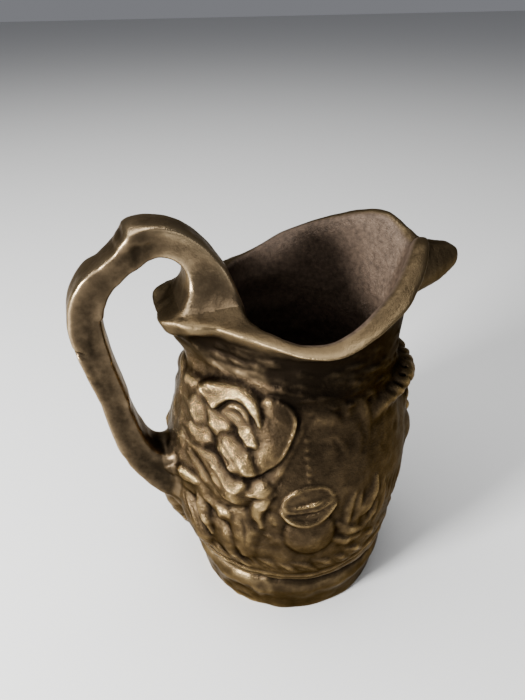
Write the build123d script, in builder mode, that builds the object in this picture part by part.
"""Cast brass face jug: a hollow body with a face, a waved hat brim that runs out into a
pouring beak, a branch-like handle and a heavy round foot, all brazed into one vessel.

The origin is the centre of the foot's underside. +Z is up, +X points along the pouring
beak, the handle is on the -X side and the jug is symmetric about the XZ plane."""

import os

from build123d import *

# Driving dimensions, in millimetres.
FOOT_RADIUS = 38.0
FOOT_HEIGHT = 21.0
FOOT_WALL = 4.5
BASE_THICKNESS = 3.5
BODY_WALL = 3.0
NECK_RADIUS = 36.5
NECK_HEIGHT = 109.0
SEAM_GAP = 1.5
RIM_WALL = 4.0
SPLAY_HEIGHT = 150.0
CUT_REACH = 95.0
CUT_HEIGHT = 160.0
SOLDER_LEG = 2.5
BRAZE_SKIRT = 3.5
BRAZE_EDGE = 0.4

BRIM_BASE = NECK_HEIGHT + SEAM_GAP
BASE_RADIUS = FOOT_RADIUS - FOOT_WALL

# Radius and height of the body's outer wall, from the groove over the foot to the neck.
BODY_OUTLINE = [
    (39.0, FOOT_HEIGHT),
    (44.5, 30.0),
    (46.8, 42.0),
    (46.2, 58.0),
    (44.3, 74.0),
    (39.8, 89.0),
    (37.0, 101.0),
    (NECK_RADIUS, NECK_HEIGHT),
]

# Corners of the foot's outer wall: a flared band under a rounded moulding.
FOOT_EDGE = (FOOT_RADIUS, 0.0)
FOOT_STEP = (FOOT_RADIUS + 1.0, 9.0)
FOOT_MOULDING = (FOOT_RADIUS + 3.2, 15.5)
FOOT_TOP = (FOOT_RADIUS + 1.0, FOOT_HEIGHT)

# Half of the brim's outer and inner outlines where they are carried up to SPLAY_HEIGHT,
# from the beak's tip round to the back. The brim is later cut off along RIM_WAVE.
SPLAY_OUTER = [(82, 0), (62, 7), (47, 13), (36, 22), (24, 41), (8, 53), (-12, 50), (-35, 31), (-66, 12), (-68, 0)]
SPLAY_INNER = [(73, 0), (56, 3), (41, 9), (32, 17), (20, 36), (6, 47), (-6, 44), (-10, 32), (-5, 16), (-4, 0)]

# Height of the rim over the length of the jug, from behind the back spur to the beak's tip.
RIM_WAVE = [(-62, 123.5), (-46, 125), (-34, 125.6), (-14, 122), (6, 127.5), (24, 135.5), (38, 145), (48, 139), (64, 131)]

# Centre line of the handle: x, z, thickness in the XZ plane and width along Y.
HANDLE_STATIONS = [
    (-31.0, 122.0, 15.0, 19.0),
    (-30.8, 132.0, 13.6, 17.0),
    (-33.4, 141.6, 11.2, 14.6),
    (-38.6, 147.2, 10.4, 14.2),
    (-46.5, 150.2, 11.4, 15.0),
    (-54.5, 146.6, 10.8, 15.0),
    (-61.4, 141.2, 9.6, 14.0),
    (-67.2, 135.4, 10.2, 13.8),
    (-70.2, 127.0, 10.8, 13.6),
    (-69.6, 114.0, 10.8, 13.4),
    (-66.6, 98.0, 10.4, 13.2),
    (-63.8, 82.0, 10.6, 13.6),
    (-59.6, 69.2, 12.2, 15.0),
    (-52.0, 59.4, 15.0, 17.6),
    (-41.0, 49.0, 18.0, 21.0),
]

# Both ends of each braze cone on the handle, in the same terms: at the wall, then on the handle.
TOP_BRAZE = [(-31.0, 123.5, 14.8, 18.7), (-30.8, 130.5, 13.8, 17.3)]
LOWER_BRAZE = [(-44.0, 51.8, 17.4, 20.2), (-51.8, 59.1, 15.1, 17.7)]

# Cast lumps on the body: centre and half-axes. The last two stand on both sides.
NOSE = ((44, 0, 66), (9, 6, 14))
CHIN = ((43, 0, 37), (8, 11, 8))
CHEEK = ((37, 22, 54), (8, 9, 10))
SMALL_POT = ((-8, 43, 58), (11, 6, 14))


def smooth_ring(half_outline):
    """Closed curve through half an outline and its mirror image across the X axis."""
    mirrored = [(x, -y) for x, y in reversed(half_outline[1:-1])]
    Spline(half_outline + mirrored, periodic=True)


def circle_like(half_outline, radius):
    """Half a circle with as many points as the outline it is lofted to, at its bearings."""
    bearings = [step * 180 / (len(half_outline) - 1) for step in range(len(half_outline))]
    points = [Vector(radius, 0).rotate(Axis.Z, bearing) for bearing in bearings]
    return [(point.X, point.Y) for point in points]


def braze_skirt(foot_station, tip_station):
    """Cone of braze round one end of the handle, from the wall it meets to its thin edge."""
    run = Vector(tip_station[0] - foot_station[0], 0, tip_station[1] - foot_station[1])
    rings = []
    for station, spread in ((foot_station, BRAZE_SKIRT), (tip_station, BRAZE_EDGE)):
        x, z, thickness, width = station
        with BuildSketch(Plane(origin=(x, 0, z), x_dir=(0, 1, 0), z_dir=run)) as ring:
            Ellipse(width / 2 + spread, thickness / 2 + spread)
        rings.append(ring.sketch.face())
    loft(rings)
    add(handle_form.part, mode=Mode.SUBTRACT)


def add_lump(centre, half_axes):
    """Cast ellipsoid lump, fused to the part that is being built."""
    lump = scale(Sphere(1, mode=Mode.PRIVATE), by=half_axes, mode=Mode.PRIVATE)
    add(Pos(*centre) * lump)


# Solid outer form of the body. The shell and everything brazed to it are cut from it.
with BuildPart() as body_form:
    with BuildSketch(Plane.XZ):
        with BuildLine():
            Spline(BODY_OUTLINE)
            Polyline(BODY_OUTLINE[-1], (0, NECK_HEIGHT), (0, FOOT_HEIGHT), BODY_OUTLINE[0])
        make_face()
    revolve(axis=Axis.Z)

with BuildPart() as body_cavity:
    with BuildSketch(Plane.XZ):
        with BuildLine():
            Spline([(radius - BODY_WALL, height) for radius, height in BODY_OUTLINE])
            Polyline(
                (NECK_RADIUS - BODY_WALL, NECK_HEIGHT),
                (0, NECK_HEIGHT),
                (0, FOOT_HEIGHT),
                (BODY_OUTLINE[0][0] - BODY_WALL, FOOT_HEIGHT),
            )
        make_face()
    revolve(axis=Axis.Z)

# Solid outer form of the brim, up to its waved rim.
with BuildPart() as brim_form:
    with BuildSketch(Plane.XY.offset(BRIM_BASE)):
        with BuildLine():
            smooth_ring(circle_like(SPLAY_OUTER, NECK_RADIUS))
        make_face()
    with BuildSketch(Plane.XY.offset(SPLAY_HEIGHT)):
        with BuildLine():
            smooth_ring(SPLAY_OUTER)
        make_face()
    loft()
    with BuildSketch(Plane.XZ):
        with BuildLine():
            Spline(RIM_WAVE)
            Polyline(
                RIM_WAVE[-1],
                (CUT_REACH, RIM_WAVE[-1][1]),
                (CUT_REACH, CUT_HEIGHT),
                (-CUT_REACH, CUT_HEIGHT),
                (-CUT_REACH, RIM_WAVE[0][1]),
                RIM_WAVE[0],
            )
        make_face()
    extrude(amount=CUT_REACH, both=True, mode=Mode.SUBTRACT)

with BuildPart() as mouth_cavity:
    with BuildSketch(Plane.XY.offset(BRIM_BASE)):
        with BuildLine():
            smooth_ring(circle_like(SPLAY_INNER, NECK_RADIUS - RIM_WALL))
        make_face()
    with BuildSketch(Plane.XY.offset(SPLAY_HEIGHT)):
        with BuildLine():
            smooth_ring(SPLAY_INNER)
        make_face()
    loft()

with BuildPart() as handle_form:
    path_points = [Vector(x, 0, z) for x, z, _, _ in HANDLE_STATIONS]
    for index, (x, z, thickness, width) in enumerate(HANDLE_STATIONS):
        before = path_points[max(index - 1, 0)]
        after = path_points[min(index + 1, len(path_points) - 1)]
        with BuildSketch(Plane(origin=(x, 0, z), x_dir=(0, 1, 0), z_dir=after - before)):
            Ellipse(width / 2, thickness / 2)
    loft()

# Hollow body with the face's main masses and a small pot in relief on each side.
with BuildPart() as body_shell:
    add(body_form.part)
    add_lump(*NOSE)
    add_lump(*CHIN)
    for (x, y, z), half_axes in (CHEEK, SMALL_POT):
        add_lump((x, y, z), half_axes)
        add_lump((x, -y, z), half_axes)
    add(body_cavity.part, mode=Mode.SUBTRACT)

with BuildPart() as hat_brim:
    add(brim_form.part)
    add(mouth_cavity.part, mode=Mode.SUBTRACT)

with BuildPart() as handle:
    add(handle_form.part)
    add(body_form.part, mode=Mode.SUBTRACT)
    add(brim_form.part, mode=Mode.SUBTRACT)

with BuildPart() as foot_ring:
    with BuildSketch(Plane.XZ):
        with BuildLine():
            Line(FOOT_EDGE, FOOT_STEP)
            ThreePointArc(FOOT_STEP, FOOT_MOULDING, FOOT_TOP)
            Polyline(FOOT_TOP, (BASE_RADIUS, FOOT_HEIGHT), (BASE_RADIUS, 0), FOOT_EDGE)
        make_face()
    revolve(axis=Axis.Z)

with BuildPart() as base_plate:
    Cylinder(BASE_RADIUS, BASE_THICKNESS, align=(Align.CENTER, Align.CENTER, Align.MIN))

with BuildPart() as base_solder:
    with BuildSketch(Plane.XZ):
        with BuildLine():
            Polyline(
                (BASE_RADIUS, BASE_THICKNESS),
                (BASE_RADIUS, BASE_THICKNESS + SOLDER_LEG),
                (BASE_RADIUS - SOLDER_LEG, BASE_THICKNESS),
                close=True,
            )
        make_face()
    revolve(axis=Axis.Z)

with BuildPart() as neck_braze:
    with BuildSketch(Plane.XY.offset(NECK_HEIGHT)):
        Circle(NECK_RADIUS)
        Circle(NECK_RADIUS - BODY_WALL, mode=Mode.SUBTRACT)
    extrude(amount=SEAM_GAP)

with BuildPart() as handle_top_braze:
    braze_skirt(*TOP_BRAZE)
    add(brim_form.part, mode=Mode.SUBTRACT)

with BuildPart() as handle_lower_braze:
    braze_skirt(*LOWER_BRAZE)
    add(body_form.part, mode=Mode.SUBTRACT)

PARTS = {
    "body_shell": body_shell,
    "hat_brim": hat_brim,
    "handle": handle,
    "foot_ring": foot_ring,
    "base_plate": base_plate,
    "base_solder": base_solder,
    "neck_braze": neck_braze,
    "handle_top_braze": handle_top_braze,
    "handle_lower_braze": handle_lower_braze,
}
os.makedirs("parts", exist_ok=True)
for name, builder in PARTS.items():
    builder.part.label = name
    export_step(builder.part, f"parts/{name}.step")
